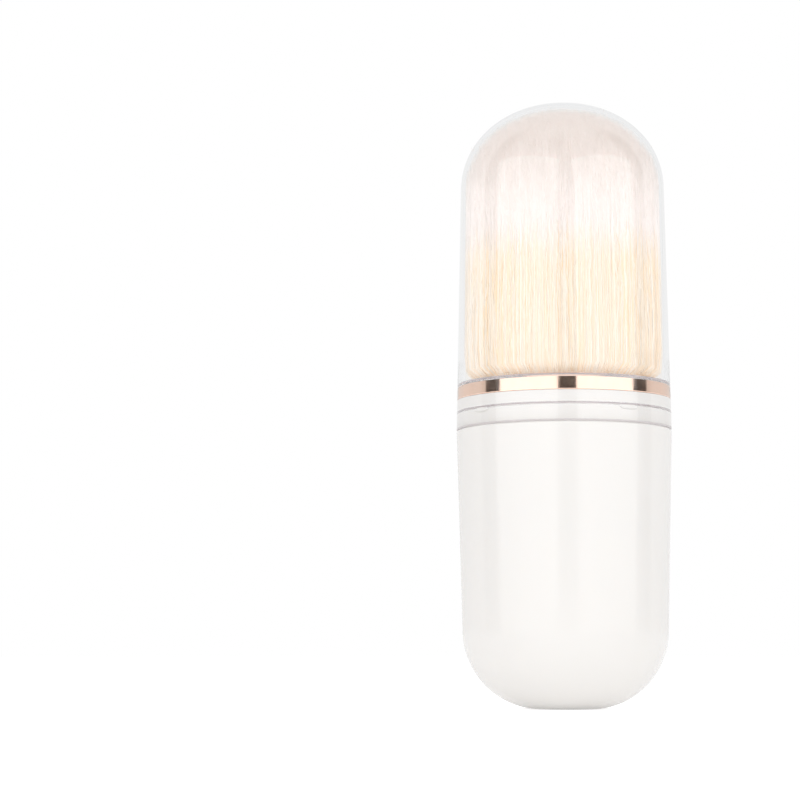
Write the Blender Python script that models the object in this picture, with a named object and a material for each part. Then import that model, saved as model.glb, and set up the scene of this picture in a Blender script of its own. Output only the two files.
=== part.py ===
"""A capsule powder brush with a clear domed cap, modelled closed and standing on its foot.

The handle is a white moulded cup. A white sleeve is pushed into its mouth and stands out of it as a neck.
The sleeve carries a drawn metal cup that holds the glued hair, and a rose gold ring that trims the cup's edge.
A steel slug lies in the foot. The hair is one core and a ring of locks, each of which hinges outward at the
ferrule once the cap is off. Metres, +Z up, origin at the middle of the foot.
"""

import math

import bmesh
import bpy
from mathutils import Matrix, Vector

MM = 0.001

# Clearances between pieces, and the overrun of shapes that a union joins
SEAT_GAP = 0.3 * MM
CAP_CLEARANCE = 0.15 * MM
CUP_CLEARANCE = 0.25 * MM
OVERRUN = 0.5 * MM
MERGE_DISTANCE = 0.001 * MM

# Round pieces all share one count of sides, so their flats line up
LOCK_COUNT = 16
SIDES_PER_LOCK = 3
ROUND_SIDES = LOCK_COUNT * SIDES_PER_LOCK
FOOT_CORNERS = LOCK_COUNT
DOME_STEPS = 10
CORNER_STEPS = 8
EDGE_STEPS = 2

# Handle shell
SHELL_RADIUS = 18.5 * MM
SHELL_DRAFT = 0.9 * MM
SHELL_CORNER_RADIUS = 13.3 * MM
SHELL_HEIGHT = 47.4 * MM
SHELL_SHOULDER_ROUND = 0.7 * MM
SHELL_WALL = 1.6 * MM
SHELL_MOUTH_WALL = 1.32 * MM
SHELL_MOUTH_DEPTH = 18.3 * MM
SHELL_LEDGE_WIDTH = 1.5 * MM

# Steel slug in the foot, and the shell's ribs that grip it
SLUG_SIDE_SPACE = 3.0 * MM
SLUG_HEIGHT = 12.0 * MM
GRIP_RIB_COUNT = 4
GRIP_RIB_WIDTH = 1.2 * MM
GRIP_RIB_HEIGHT = 3.5 * MM
GRIP_RIB_START = 7.0 * MM

# Neck sleeve
NECK_HEIGHT = 5.6 * MM
NECK_WALL = 0.95 * MM
NECK_EDGE_ROUND = 0.2 * MM
SLEEVE_CUP_DEPTH = 12.7 * MM
SLEEVE_WEB_THICKNESS = 1.2 * MM
SLEEVE_WEB_HOLE_RADIUS = 5.0 * MM
SLEEVE_SKIRT_WALL = 1.6 * MM

# Pips on the neck, over which the cap's rim snaps
PIP_COUNT = 4
PIP_TURN_SHARE = 0.38
PIP_LENGTH = 3.6 * MM
PIP_HEIGHT = 0.9 * MM
PIP_STAND = 0.3 * MM
PIP_LEVEL = 2.9 * MM
PIP_SEGMENTS = 10
PIP_RINGS = 6

# Crush ribs that hold the sleeve in the handle's mouth
CRUSH_RIB_COUNT = 8
CRUSH_RIB_WIDTH = 0.8 * MM
CRUSH_RIB_LENGTH = 12.0 * MM
CRUSH_RIB_START = 1.2 * MM
CRUSH_RIB_CLEARANCE = 0.12 * MM

# Rose gold ferrule ring
RING_SETBACK = 0.18 * MM
RING_HEIGHT = 2.7 * MM
RING_EDGE_ROUND = 0.25 * MM
RING_LIP_WIDTH = 0.65 * MM
RING_LIP_THICKNESS = 0.6 * MM

# Drawn metal cup that holds the hair
CUP_WALL = 0.4 * MM
CUP_FLOOR = 0.5 * MM
CUP_HOLE_RADIUS = 3.0 * MM

# Glue plug, and the bound roots of the hair above it
GLUE_HEIGHT = 4.7 * MM
ROOT_DEPTH = 1.9 * MM
LOCK_SLICE_THICKNESS = 0.8 * MM

# Hair: its length above the ring falls from the crown's to the edge's by a rounded law
CORE_RADIUS = 4.9 * MM
LOCK_GAP = 0.3 * MM
STRAND_SIDES = 3
STRAND_RADIUS = 0.42 * MM
STRAND_TIP_RADIUS = 0.2 * MM
STRAND_WALL_GAP = 0.3 * MM
STRAND_KNEE_HEIGHT = 9.0 * MM
CORE_STRAND_RINGS = (1, 6, 11, 16)
LOCK_STRAND_ROWS = (2, 3, 4, 4, 5)
HAIR_EDGE_LENGTH = 29.2 * MM
HAIR_CROWN_LENGTH = 45.8 * MM
HAIR_ROUND_EXPONENT = 2.3
HAIR_FALL_EXPONENT = 0.66

# Clear cap
CAP_LENGTH = 57.1 * MM
CAP_DOME_HEIGHT = 15.2 * MM
CAP_DRAFT = 0.85 * MM
CAP_DOME_EXPONENT = 2.1
CAP_RIM_ROUND = 0.3 * MM
CAP_GROOVE_DEPTH = 0.22 * MM
CAP_GROOVE_HEIGHT = 3.2 * MM
CAP_LEDGE_STEP = 0.2 * MM
CAP_LEDGE_ABOVE_RING = 0.15 * MM
CAP_WALL = 1.15 * MM
CAP_CROWN = 1.3 * MM

# Radii that follow from the sizes above
SHELL_WAIST_RADIUS = SHELL_RADIUS - SHELL_DRAFT
SHELL_FOOT_RADIUS = SHELL_WAIST_RADIUS - SHELL_CORNER_RADIUS
SHELL_BORE_RADIUS = SHELL_RADIUS - SHELL_MOUTH_WALL
SHELL_INNER_CORNER = SHELL_CORNER_RADIUS - SHELL_WALL
SLUG_RADIUS = SHELL_WAIST_RADIUS - SHELL_WALL - SLUG_SIDE_SPACE
NECK_RADIUS = SHELL_BORE_RADIUS - SEAT_GAP
RING_RADIUS = NECK_RADIUS - RING_SETBACK
RING_BORE_RADIUS = NECK_RADIUS - NECK_WALL
CUP_RADIUS = RING_BORE_RADIUS - CUP_CLEARANCE
CUP_INNER_RADIUS = CUP_RADIUS - CUP_WALL
RING_LIP_RADIUS = RING_BORE_RADIUS - RING_LIP_WIDTH
HAIR_ROOT_RADIUS = CUP_INNER_RADIUS - SEAT_GAP
CAP_BORE_RADIUS = NECK_RADIUS + CAP_CLEARANCE
CAP_LEDGE_RADIUS = CAP_BORE_RADIUS - CAP_LEDGE_STEP
CAP_SPRING_RADIUS = SHELL_RADIUS - CAP_DRAFT
CAP_INNER_SPRING_RADIUS = CAP_SPRING_RADIUS - CAP_WALL
CAP_INNER_DOME_HEIGHT = CAP_DOME_HEIGHT - CAP_CROWN
STRAND_LEAN = (CAP_INNER_SPRING_RADIUS - STRAND_WALL_GAP - STRAND_RADIUS) / HAIR_ROOT_RADIUS

# Levels that follow from the sizes above
SHELL_LEDGE_HEIGHT = SHELL_HEIGHT - SHELL_MOUTH_DEPTH
SLEEVE_FOOT = SHELL_LEDGE_HEIGHT + SEAT_GAP
SLEEVE_TOP = SHELL_HEIGHT + NECK_HEIGHT
SLEEVE_WEB_HEIGHT = SLEEVE_TOP - SLEEVE_CUP_DEPTH
RING_FOOT = SLEEVE_TOP + SEAT_GAP
RING_TOP = RING_FOOT + RING_HEIGHT
CUP_FOOT = SLEEVE_WEB_HEIGHT + SEAT_GAP
CUP_TOP = RING_TOP - RING_LIP_THICKNESS - SEAT_GAP
GLUE_FOOT = CUP_FOOT + CUP_FLOOR + SEAT_GAP
GLUE_TOP = GLUE_FOOT + GLUE_HEIGHT
ROOT_FOOT = GLUE_TOP + SEAT_GAP
ROOT_TOP = RING_TOP - ROOT_DEPTH
SLICE_FOOT = ROOT_TOP + SEAT_GAP
CAP_FOOT = SHELL_HEIGHT + SEAT_GAP
CAP_TOP = CAP_FOOT + CAP_LENGTH
CAP_SPRING = CAP_TOP - CAP_DOME_HEIGHT
CAP_LEDGE = RING_TOP + CAP_LEDGE_ABOVE_RING
FULL_TURN = 2 * math.pi


def clear_scene():
    for obj in list(bpy.data.objects):
        bpy.data.objects.remove(obj)


def finish(name, colour, roughness, metallic=0.0, alpha=1.0):
    """A plain Principled material of one colour."""
    material = bpy.data.materials.new(name)
    material.use_nodes = True
    shader = material.node_tree.nodes["Principled BSDF"]
    shader.inputs["Base Color"].default_value = (*colour, 1.0)
    shader.inputs["Roughness"].default_value = roughness
    shader.inputs["Metallic"].default_value = metallic
    shader.inputs["Alpha"].default_value = alpha
    return material


def mesh_from(name, bm):
    bmesh.ops.recalc_face_normals(bm, faces=bm.faces)
    mesh = bpy.data.meshes.new(name)
    bm.to_mesh(mesh)
    bm.free()
    return mesh


def place(name, mesh, material, smooth_deg=35.0):
    """Puts a mesh in the scene as a named piece, with its round faces shaded smooth."""
    mesh.materials.clear()
    mesh.materials.append(material)
    mesh.shade_smooth()
    mesh.set_sharp_from_angle(angle=math.radians(smooth_deg))
    obj = bpy.data.objects.new(name, mesh)
    bpy.context.scene.collection.objects.link(obj)
    return obj


def helper(name, bm):
    """A shape that a Boolean uses. It is hidden, so it isn't a piece."""
    obj = bpy.data.objects.new(name, mesh_from(name, bm))
    obj.hide_render = True
    obj.display_type = "WIRE"
    bpy.context.scene.collection.objects.link(obj)
    return obj


def join_shape(obj, addition):
    union = obj.modifiers.new(addition.name, "BOOLEAN")
    union.operation = "UNION"
    union.object = addition


def arc(centre, radii, start_deg, end_deg, steps, exponent=2.0):
    """Points on a superellipse's arc, with angles measured from +r towards +z."""
    points = []
    for i in range(steps + 1):
        angle = math.radians(start_deg + (end_deg - start_deg) * i / steps)
        across = math.copysign(abs(math.cos(angle)) ** (2 / exponent), math.cos(angle))
        up = math.copysign(abs(math.sin(angle)) ** (2 / exponent), math.sin(angle))
        points.append((centre[0] + radii[0] * across, centre[1] + radii[1] * up))
    return points


def turned(name, profile, closed):
    """Spins (radius, height) points about Z. A profile that starts and ends on the axis isn't closed."""
    bm = bmesh.new()
    verts = [bm.verts.new((r, 0, z)) for r, z in profile]
    edges = [bm.edges.new(pair) for pair in zip(verts, verts[1:])]
    if closed:
        edges.append(bm.edges.new((verts[-1], verts[0])))
    bmesh.ops.spin(
        bm,
        geom=verts + edges,
        axis=(0, 0, 1),
        cent=(0, 0, 0),
        angle=FULL_TURN,
        steps=ROUND_SIDES,
        use_merge=True,
    )
    bmesh.ops.remove_doubles(bm, verts=bm.verts, dist=MERGE_DISTANCE)
    return mesh_from(name, bm)


def add_block(bm, inner, outer, width, foot, top, angle):
    """A radial block from one radius to another, standing from foot to top, turned about Z."""
    size = Matrix.Diagonal((outer - inner, width, top - foot, 1))
    middle = Matrix.Translation(((outer + inner) / 2, 0, (top + foot) / 2))
    bmesh.ops.create_cube(bm, size=1, matrix=Matrix.Rotation(angle, 4, "Z") @ middle @ size)


def shell_corner(radius, level):
    """The radius of the handle's rounded foot at a level, for its outer or inner corner radius."""
    drop = SHELL_CORNER_RADIUS - level
    return SHELL_FOOT_RADIUS + math.sqrt(radius**2 - drop**2)


def thin_foot_corners(mesh):
    """Merges corners of the foot's rim, so that the flat stands on a few that lie well apart."""
    bm = bmesh.new()
    bm.from_mesh(mesh)
    step = FULL_TURN / FOOT_CORNERS
    foot = [vert for vert in bm.verts if abs(vert.co.z) < MERGE_DISTANCE]
    for vert in foot:
        radius = vert.co.xy.length
        angle = step * round(math.atan2(vert.co.y, vert.co.x) / step)
        vert.co.xy = (radius * math.cos(angle), radius * math.sin(angle))
    bmesh.ops.remove_doubles(bm, verts=foot, dist=MERGE_DISTANCE)
    bm.to_mesh(mesh)
    bm.free()


def handle_shell(material):
    corner_centre = (SHELL_FOOT_RADIUS, SHELL_CORNER_RADIUS)
    round_centre = (SHELL_RADIUS - SHELL_SHOULDER_ROUND, SHELL_HEIGHT - SHELL_SHOULDER_ROUND)
    outer = (SHELL_CORNER_RADIUS, SHELL_CORNER_RADIUS)
    inner = (SHELL_INNER_CORNER, SHELL_INNER_CORNER)
    shoulder = (SHELL_SHOULDER_ROUND, SHELL_SHOULDER_ROUND)
    profile = [
        (0, 0),
        *arc(corner_centre, outer, -90, 0, CORNER_STEPS),
        *arc(round_centre, shoulder, 0, 90, EDGE_STEPS),
        (SHELL_BORE_RADIUS, SHELL_HEIGHT),
        (SHELL_BORE_RADIUS, SHELL_LEDGE_HEIGHT),
        (SHELL_BORE_RADIUS - SHELL_LEDGE_WIDTH, SHELL_LEDGE_HEIGHT),
        *arc(corner_centre, inner, 0, -90, CORNER_STEPS),
        (0, SHELL_WALL),
    ]
    mesh = turned("handle_shell", profile, closed=False)
    thin_foot_corners(mesh)
    shell = place("handle_shell", mesh, material)
    ribs = bmesh.new()
    rib_top = GRIP_RIB_START + GRIP_RIB_HEIGHT
    rib_inner = SLUG_RADIUS + SEAT_GAP
    wall_outside = shell_corner(SHELL_CORNER_RADIUS, GRIP_RIB_START)
    wall_inside = shell_corner(SHELL_INNER_CORNER, rib_top)
    rib_outer = (wall_outside + wall_inside) / 2
    for i in range(GRIP_RIB_COUNT):
        angle = FULL_TURN * (i + 0.5) / GRIP_RIB_COUNT
        add_block(ribs, rib_inner, rib_outer, GRIP_RIB_WIDTH, GRIP_RIB_START, rib_top, angle)
    join_shape(shell, helper("grip_ribs", ribs))


def ballast_slug(material):
    """A turned steel slug whose foot follows the handle's rounded floor."""
    corner = SHELL_INNER_CORNER - SEAT_GAP
    side_deg = -math.degrees(math.acos((SLUG_RADIUS - SHELL_FOOT_RADIUS) / corner))
    foot_arc = arc((SHELL_FOOT_RADIUS, SHELL_CORNER_RADIUS), (corner, corner), -90, side_deg, CORNER_STEPS)
    foot = SHELL_WALL + SEAT_GAP
    top = foot + SLUG_HEIGHT
    profile = [(0, foot), *foot_arc, (SLUG_RADIUS, top), (0, top)]
    place("ballast_slug", turned("ballast_slug", profile, closed=False), material)


def neck_sleeve(material):
    skirt = NECK_RADIUS - SLEEVE_SKIRT_WALL
    web_foot = SLEEVE_WEB_HEIGHT - SLEEVE_WEB_THICKNESS
    edge = NECK_EDGE_ROUND
    profile = [
        (NECK_RADIUS, SLEEVE_FOOT),
        *arc((NECK_RADIUS - edge, SLEEVE_TOP - edge), (edge, edge), 0, 90, EDGE_STEPS),
        (RING_BORE_RADIUS, SLEEVE_TOP),
        (RING_BORE_RADIUS, SLEEVE_WEB_HEIGHT),
        (SLEEVE_WEB_HOLE_RADIUS, SLEEVE_WEB_HEIGHT),
        (SLEEVE_WEB_HOLE_RADIUS, web_foot),
        (skirt, web_foot),
        (skirt, SLEEVE_FOOT),
    ]
    sleeve = place("neck_sleeve", turned("neck_sleeve", profile, closed=True), material)
    pips = bmesh.new()
    for i in range(PIP_COUNT):
        turn = Matrix.Rotation(FULL_TURN * (i + PIP_TURN_SHARE) / PIP_COUNT, 4, "Z")
        middle = Matrix.Translation((NECK_RADIUS, 0, SHELL_HEIGHT + PIP_LEVEL))
        size = Matrix.Diagonal((PIP_STAND, PIP_LENGTH / 2, PIP_HEIGHT / 2, 1))
        shape = turn @ middle @ size
        bmesh.ops.create_uvsphere(pips, u_segments=PIP_SEGMENTS, v_segments=PIP_RINGS, radius=1, matrix=shape)
    join_shape(sleeve, helper("snap_pips", pips))
    ribs = bmesh.new()
    rib_foot = SLEEVE_FOOT + CRUSH_RIB_START
    rib_top = rib_foot + CRUSH_RIB_LENGTH
    rib_inner = NECK_RADIUS - OVERRUN
    rib_outer = SHELL_BORE_RADIUS - CRUSH_RIB_CLEARANCE
    for i in range(CRUSH_RIB_COUNT):
        angle = FULL_TURN * i / CRUSH_RIB_COUNT
        add_block(ribs, rib_inner, rib_outer, CRUSH_RIB_WIDTH, rib_foot, rib_top, angle)
    join_shape(sleeve, helper("crush_ribs", ribs))


def ferrule_ring(material):
    """A ring that sits on the sleeve's edge, with a lip that turns in over the cup's edge."""
    edge = (RING_EDGE_ROUND, RING_EDGE_ROUND)
    edge_radius = RING_RADIUS - RING_EDGE_ROUND
    lip_foot = RING_TOP - RING_LIP_THICKNESS
    profile = [
        *arc((edge_radius, RING_FOOT + RING_EDGE_ROUND), edge, -90, 0, EDGE_STEPS),
        *arc((edge_radius, RING_TOP - RING_EDGE_ROUND), edge, 0, 90, EDGE_STEPS),
        (RING_LIP_RADIUS, RING_TOP),
        (RING_LIP_RADIUS, lip_foot),
        (RING_BORE_RADIUS, lip_foot),
        (RING_BORE_RADIUS, RING_FOOT),
    ]
    place("ferrule_ring", turned("ferrule_ring", profile, closed=True), material)


def ferrule_cup(material):
    floor_top = CUP_FOOT + CUP_FLOOR
    profile = [
        (CUP_HOLE_RADIUS, CUP_FOOT),
        (CUP_RADIUS, CUP_FOOT),
        (CUP_RADIUS, CUP_TOP),
        (CUP_INNER_RADIUS, CUP_TOP),
        (CUP_INNER_RADIUS, floor_top),
        (CUP_HOLE_RADIUS, floor_top),
    ]
    place("ferrule_cup", turned("ferrule_cup", profile, closed=True), material)


def disc(name, foot, top):
    profile = [(0, foot), (HAIR_ROOT_RADIUS, foot), (HAIR_ROOT_RADIUS, top), (0, top)]
    return turned(name, profile, closed=False)


def glue_plug(material):
    place("glue_plug", disc("glue_plug", GLUE_FOOT, GLUE_TOP), material)


def hair_length(radius):
    """The length of a hair above the ring, by the radius of its root."""
    share = min(1.0, radius / HAIR_ROOT_RADIUS)
    rise = (1 - share**HAIR_ROUND_EXPONENT) ** HAIR_FALL_EXPONENT
    return HAIR_EDGE_LENGTH + (HAIR_CROWN_LENGTH - HAIR_EDGE_LENGTH) * rise


def add_strand(bm, radius, angle, foot):
    """One strand. It leans out as far as its knee, then stands straight up to its tip."""
    out = Vector((math.cos(angle), math.sin(angle), 0))
    up = Vector((0, 0, 1))
    root = out * radius + up * foot
    knee = out * radius * STRAND_LEAN + up * (RING_TOP + STRAND_KNEE_HEIGHT)
    tip = out * radius * STRAND_LEAN + up * (RING_TOP + hair_length(radius))
    rings = []
    for centre, size in ((root, STRAND_RADIUS), (knee, STRAND_RADIUS), (tip, STRAND_TIP_RADIUS)):
        ring = []
        for side in range(STRAND_SIDES):
            turn = Matrix.Rotation(angle + FULL_TURN * side / STRAND_SIDES, 4, "Z")
            ring.append(bm.verts.new(centre + turn @ Vector((size, 0, 0))))
        rings.append(ring)
    for low, high in zip(rings, rings[1:]):
        for side in range(STRAND_SIDES):
            after = (side + 1) % STRAND_SIDES
            bm.faces.new((low[side], low[after], high[after], high[side]))
    bm.faces.new(reversed(rings[0]))
    bm.faces.new(rings[-1])


def hair_core(material):
    """The middle of the hair, on the bound roots of the whole bundle."""
    core = place("hair_core", disc("hair_core", ROOT_FOOT, ROOT_TOP), material)
    strands = bmesh.new()
    step = (CORE_RADIUS - STRAND_RADIUS) / (len(CORE_STRAND_RINGS) - 1)
    for ring, count in enumerate(CORE_STRAND_RINGS):
        for i in range(count):
            angle = FULL_TURN * (i + ring / 2) / count
            add_strand(strands, ring * step, angle, ROOT_TOP - OVERRUN)
    join_shape(core, helper("core_strands", strands))


def lock_slice():
    """The bound roots of one lock: a wedge between the core and the cup's wall, about the +X axis."""
    bm = bmesh.new()
    half = FULL_TURN / LOCK_COUNT / 2
    outline = []
    for radius, direction in ((CORE_RADIUS + LOCK_GAP, 1), (HAIR_ROOT_RADIUS, -1)):
        reach = half - LOCK_GAP / 2 / radius
        for i in range(SIDES_PER_LOCK + 1):
            angle = direction * reach * (2 * i / SIDES_PER_LOCK - 1)
            turn = Matrix.Rotation(angle, 4, "Z")
            outline.append(bm.verts.new(turn @ Vector((radius, 0, SLICE_FOOT))))
    face = bm.faces.new(outline)
    grown = bmesh.ops.extrude_face_region(bm, geom=[face])["geom"]
    lifted = [item for item in grown if isinstance(item, bmesh.types.BMVert)]
    bmesh.ops.translate(bm, verts=lifted, vec=(0, 0, LOCK_SLICE_THICKNESS))
    return mesh_from("lock_slice", bm)


def lock_mesh(material):
    """One lock of hair about the +X axis, fused and moved so that its hinge lies at the origin."""
    lock = place("lock_pattern", lock_slice(), material)
    strands = bmesh.new()
    first = CORE_RADIUS + LOCK_GAP + STRAND_RADIUS
    last = HAIR_ROOT_RADIUS - STRAND_RADIUS
    half = FULL_TURN / LOCK_COUNT / 2
    for row, count in enumerate(LOCK_STRAND_ROWS):
        radius = first + (last - first) * row / (len(LOCK_STRAND_ROWS) - 1)
        reach = half - (LOCK_GAP / 2 + STRAND_RADIUS) / radius
        for i in range(count):
            angle = reach * (2 * i / (count - 1) - 1)
            add_strand(strands, radius, angle, SLICE_FOOT + LOCK_SLICE_THICKNESS / 2)
    join_shape(lock, helper("lock_strands", strands))
    depsgraph = bpy.context.evaluated_depsgraph_get()
    fused = bpy.data.meshes.new_from_object(lock.evaluated_get(depsgraph))
    fused.transform(Matrix.Translation((-HAIR_ROOT_RADIUS, 0, -RING_TOP)))
    bpy.data.objects.remove(lock)
    return fused


def hair_locks(material):
    """The ring of locks. Each has its origin on its hinge, at the root radius and the ring's top edge."""
    mesh = lock_mesh(material)
    for index in range(LOCK_COUNT):
        angle = FULL_TURN * (index + 0.5) / LOCK_COUNT
        lock = place(f"hair_lock_{index + 1:02d}", mesh, material)
        lock.location = (HAIR_ROOT_RADIUS * math.cos(angle), HAIR_ROOT_RADIUS * math.sin(angle), RING_TOP)
        lock.rotation_euler = (0, 0, angle)


def clear_cap(material):
    """The cap, with its origin on the line that it slides along."""
    rim = CAP_RIM_ROUND
    spring = CAP_SPRING - CAP_FOOT
    groove_top = CAP_GROOVE_HEIGHT
    ledge = CAP_LEDGE - CAP_FOOT
    outer_dome = (CAP_SPRING_RADIUS, CAP_DOME_HEIGHT)
    inner_dome = (CAP_INNER_SPRING_RADIUS, CAP_INNER_DOME_HEIGHT)
    profile = [
        *arc((0, spring), outer_dome, 90, 0, DOME_STEPS, CAP_DOME_EXPONENT),
        *arc((SHELL_RADIUS - rim, rim), (rim, rim), 0, -90, EDGE_STEPS),
        (CAP_BORE_RADIUS + CAP_GROOVE_DEPTH, 0),
        (CAP_BORE_RADIUS + CAP_GROOVE_DEPTH, groove_top),
        (CAP_BORE_RADIUS, groove_top + CAP_GROOVE_DEPTH),
        (CAP_BORE_RADIUS, ledge),
        (CAP_LEDGE_RADIUS, ledge + CAP_LEDGE_STEP),
        *arc((0, spring), inner_dome, 0, 90, DOME_STEPS, CAP_DOME_EXPONENT),
    ]
    cap = place("clear_cap", turned("clear_cap", profile, closed=False), material)
    cap.location = (0, 0, CAP_FOOT)


def main():
    clear_scene()
    white = finish("white_gloss", (0.93, 0.925, 0.91), 0.12)
    steel = finish("steel", (0.5, 0.5, 0.52), 0.4, metallic=1.0)
    gold = finish("rose_gold", (0.86, 0.58, 0.44), 0.12, metallic=1.0)
    aluminium = finish("drawn_aluminium", (0.78, 0.78, 0.8), 0.3, metallic=1.0)
    glue = finish("glue", (0.8, 0.72, 0.55), 0.3)
    hair = finish("hair", (0.95, 0.88, 0.78), 0.6)
    clear = finish("clear_plastic", (0.96, 0.97, 0.98), 0.03, alpha=0.25)
    handle_shell(white)
    ballast_slug(steel)
    neck_sleeve(white)
    ferrule_ring(gold)
    ferrule_cup(aluminium)
    glue_plug(glue)
    hair_core(hair)
    hair_locks(hair)
    clear_cap(clear)


main()
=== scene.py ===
"""A capsule powder brush, closed under its clear domed cap and standing on its foot.

Each section below is one piece of the brush, from the foot up. The camera comes before them and the studio
after them. Sizes are in metres, +Z is up, and the middle of the foot is the origin.
"""

import math

import bpy
import numpy as np
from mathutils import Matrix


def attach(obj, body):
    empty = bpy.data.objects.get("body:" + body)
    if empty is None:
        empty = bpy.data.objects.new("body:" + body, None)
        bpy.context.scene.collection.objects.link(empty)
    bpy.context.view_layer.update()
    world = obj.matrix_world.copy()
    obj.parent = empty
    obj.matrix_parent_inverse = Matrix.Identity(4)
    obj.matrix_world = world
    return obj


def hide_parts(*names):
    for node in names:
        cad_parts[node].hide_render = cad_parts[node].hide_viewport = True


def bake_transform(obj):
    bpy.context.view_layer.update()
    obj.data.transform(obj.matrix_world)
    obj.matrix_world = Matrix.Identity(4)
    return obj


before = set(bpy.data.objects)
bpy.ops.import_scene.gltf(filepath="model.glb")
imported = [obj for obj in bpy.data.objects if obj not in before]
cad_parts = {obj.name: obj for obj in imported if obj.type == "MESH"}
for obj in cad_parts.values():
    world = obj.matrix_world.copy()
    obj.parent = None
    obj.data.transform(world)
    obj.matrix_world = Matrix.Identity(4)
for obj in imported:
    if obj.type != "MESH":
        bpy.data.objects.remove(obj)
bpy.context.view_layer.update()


# Camera
# A long lens, low in front of the brush and a little to its left. It looks up at the middle of the brush's
# height.
MM = 0.001
CAMERA_DISTANCE = 400 * MM
CAMERA_PITCH = math.radians(6.2)
CAMERA_SIDE = -28.3 * MM
LOOK_HEIGHT = 53.0 * MM
LENS_LENGTH = 104.7
SENSOR_WIDTH = 36
NEAREST_SEEN = 10 * MM

camera_data = bpy.data.cameras.new("camera")
camera_data.lens = LENS_LENGTH
camera_data.sensor_width = SENSOR_WIDTH
camera_data.clip_start = NEAREST_SEEN
camera = bpy.data.objects.new("camera", camera_data)
camera.location = (CAMERA_SIDE, -CAMERA_DISTANCE, LOOK_HEIGHT - CAMERA_DISTANCE * math.tan(CAMERA_PITCH))
camera.rotation_euler = (math.pi / 2 + CAMERA_PITCH, 0, 0)
bpy.context.scene.collection.objects.link(camera)
bpy.context.scene.camera = camera


# Handle
# A deep cup of white glossy plastic with a rounded foot, moulded in one shot. Its mouth is bored for the
# neck sleeve, and four ribs on the inside of the foot grip the steel slug.
HANDLE_RADIUS = 18.5 * MM
HANDLE_WAIST = 17.6 * MM
HANDLE_TOP = 47.62 * MM
FOOT_CORNER = 13.3 * MM
HANDLE_WALL = 1.6 * MM
MOUTH_RADIUS = 17.18 * MM
MOUTH_LEDGE = 29.1 * MM
LEDGE_WIDTH = 1.5 * MM
SHOULDER_ROUND = 0.4 * MM
MOUTH_EDGE = 0.15 * MM
# An outline has a point this far beside each small round, so that the long face next to it shades flat.
SUPPORT = 0.2 * MM
SLUG_RIB_INNER = 13.3 * MM
SLUG_RIB_OUTER = 15.84 * MM
SLUG_RIB_WIDTH = 1.2 * MM
SLUG_RIB_FOOT = 7.0 * MM
SLUG_RIB_TOP = 10.5 * MM
SLUG_RIB_ANGLES = (45, 135, 225, 315)
TURN_STEPS = 192
SMOOTH_ANGLE = math.radians(30)
WELD_DISTANCE = 0.002 * MM
WHITE = (0.862, 0.841, 0.815)
CLOUD_SHARE = 0.985
PLASTIC_IOR = 1.5
RUB_ROUGHNESS = (0.11, 0.2)
RIPPLE_DEPTH = 0.01 * MM


def rounded(centre, radii, start_deg, end_deg, steps, power=2.0):
    """Points on a rounded edge, with angles measured from outwards to upwards."""
    points = []
    for angle in np.radians(np.linspace(start_deg, end_deg, steps + 1)):
        across = math.copysign(abs(math.cos(angle)) ** (2 / power), math.cos(angle))
        up = math.copysign(abs(math.sin(angle)) ** (2 / power), math.sin(angle))
        points.append((centre[0] + radii[0] * across, centre[1] + radii[1] * up))
    return points


def settle(piece):
    """Puts a piece's place in its mesh and smooths its round faces."""
    bpy.ops.object.select_all(action="DESELECT")
    piece.select_set(True)
    bpy.context.view_layer.objects.active = piece
    bpy.ops.object.transform_apply(location=True, rotation=True, scale=True)
    bpy.ops.object.shade_smooth_by_angle(angle=SMOOTH_ANGLE)


def turn(name, outline):
    """Draws an outline of (radius, height) points from one corner, and turns it about the brush's axis."""
    bpy.ops.object.select_all(action="DESELECT")
    bpy.ops.mesh.primitive_plane_add(size=MM, location=(outline[0][0], 0, outline[0][1]))
    piece = bpy.context.object
    piece.name = name
    bpy.ops.object.mode_set(mode="EDIT")
    bpy.ops.mesh.select_all(action="SELECT")
    bpy.ops.mesh.merge(type="CENTER")
    for before, after in zip(outline, outline[1:]):
        step = (after[0] - before[0], 0, after[1] - before[1])
        bpy.ops.mesh.extrude_region_move(TRANSFORM_OT_translate={"value": step})
    bpy.ops.mesh.select_all(action="SELECT")
    bpy.ops.mesh.spin(steps=TURN_STEPS, angle=2 * math.pi, center=(0, 0, 0), axis=(0, 0, 1))
    bpy.ops.mesh.select_all(action="SELECT")
    bpy.ops.mesh.remove_doubles(threshold=WELD_DISTANCE)
    bpy.ops.mesh.normals_make_consistent(inside=False)
    bpy.ops.object.mode_set(mode="OBJECT")
    settle(piece)
    return piece


def fuse(piece, extras):
    """Unites small solids with a piece."""
    for extra in extras:
        union = piece.modifiers.new("union", "BOOLEAN")
        union.operation = "UNION"
        union.object = extra
        bpy.context.view_layer.objects.active = piece
        bpy.ops.object.modifier_apply(modifier=union.name)
        bpy.data.objects.remove(extra)
    settle(piece)


def rib(inner, outer, width, foot, top, angle):
    """A radial block, for ribs that another piece presses on."""
    middle = (inner + outer) / 2
    bpy.ops.object.select_all(action="DESELECT")
    bpy.ops.mesh.primitive_cube_add(size=1, location=(middle, 0, (foot + top) / 2))
    block = bpy.context.object
    block.scale = (outer - inner, width, top - foot)
    settle(block)
    block.rotation_euler = (0, 0, angle)
    settle(block)
    return block


def new_finish(name):
    """A node material with its shader, and the position of each point on the piece."""
    finish = bpy.data.materials.new(name)
    finish.use_nodes = True
    tree = finish.node_tree
    place = tree.nodes.new("ShaderNodeTexCoord")
    return finish, tree, tree.nodes["Principled BSDF"], place.outputs["Object"]


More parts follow.
